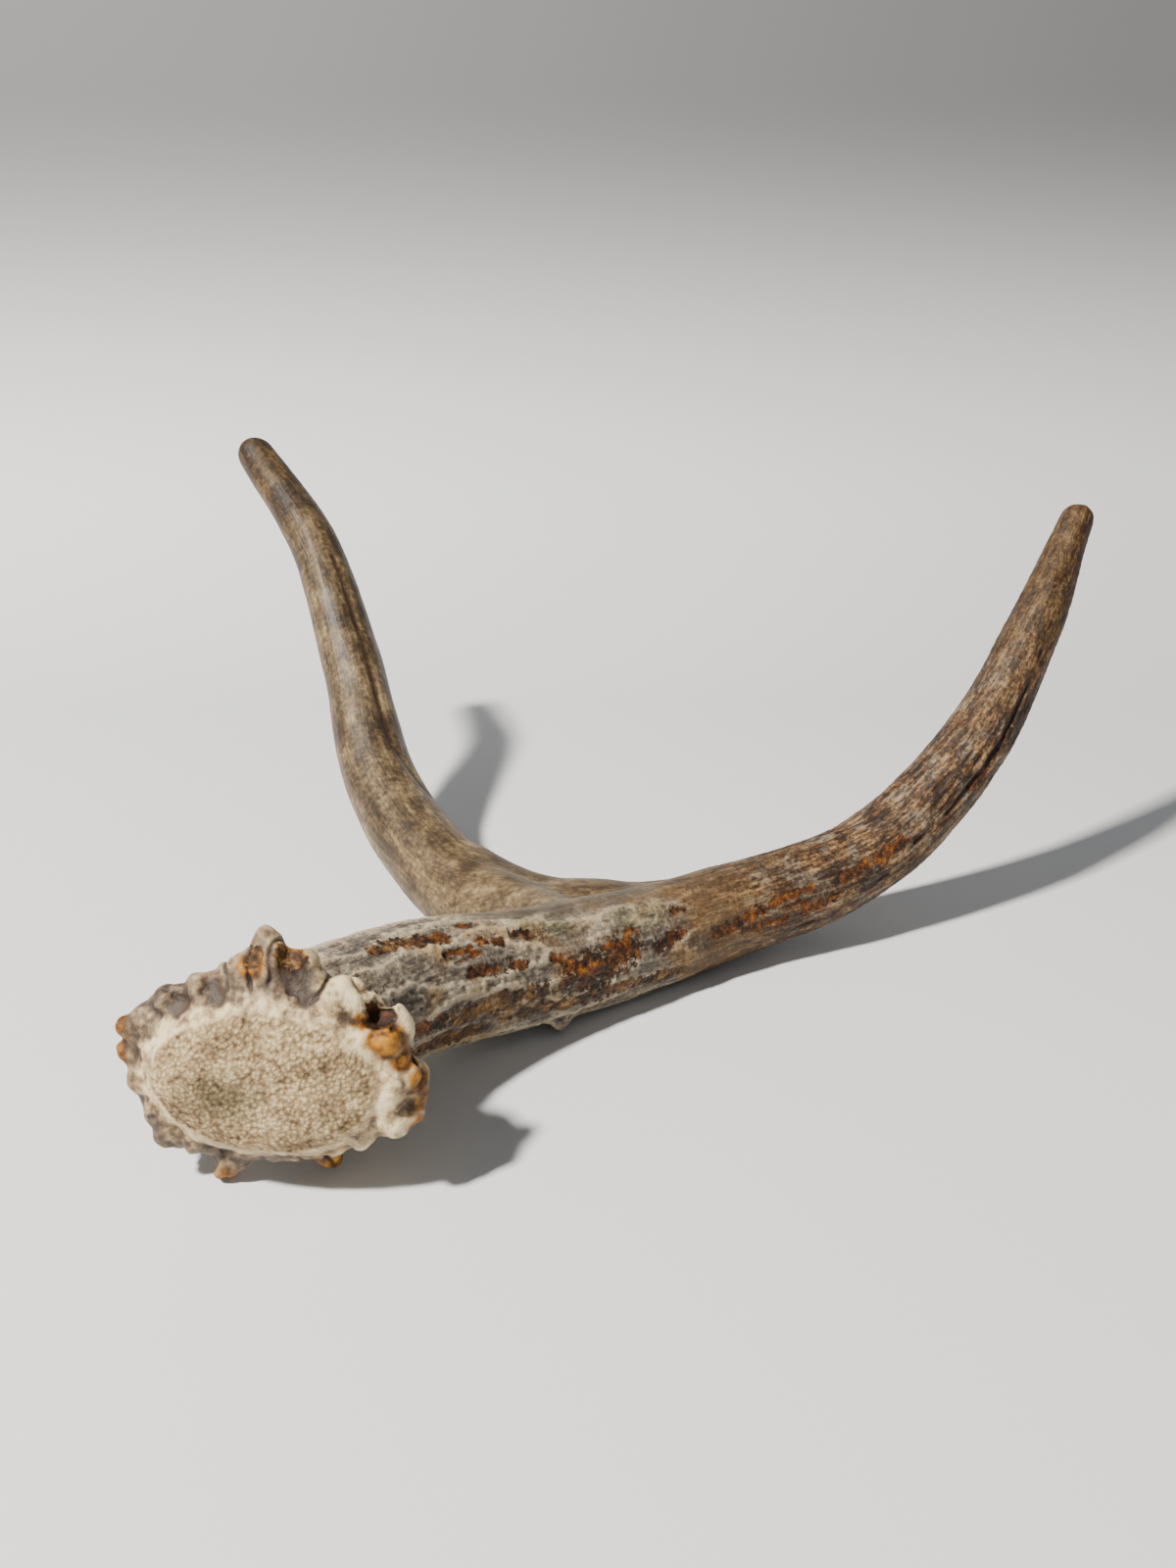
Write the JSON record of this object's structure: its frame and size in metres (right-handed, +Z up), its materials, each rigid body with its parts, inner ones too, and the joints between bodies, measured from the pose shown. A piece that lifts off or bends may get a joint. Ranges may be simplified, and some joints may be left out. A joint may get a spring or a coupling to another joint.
{
  "type": "deer antler",
  "caption": "Shed deer antler with a knobbly burr, a porous oval seal and one fork, lying on its side as a found or display piece.",
  "frame": {"origin": "on the resting surface, under the middle of the antler's bounding box", "axes": "+Z up as the antler lies; +X from the left tine's tip towards the right tine's tip, the longest extent; +Y from the burr towards the fork"},
  "size_m": [0.2709, 0.2638, 0.1221],
  "materials": {
    "weathered_antler": "grey weathered crust with rust-brown pits; a cream, porous seal and burr",
    "smooth_antler": "worn, satin, grey-tan with long dark grooves and an ochre tip",
    "streaked_antler": "satin tan-brown with long streaks and rust-brown pits, paler at the tip"
  },
  "bodies": {
    "root": {"beam": "weathered_antler", "left_tine": "smooth_antler", "right_tine": "streaked_antler"}
  },
  "joints": []
}
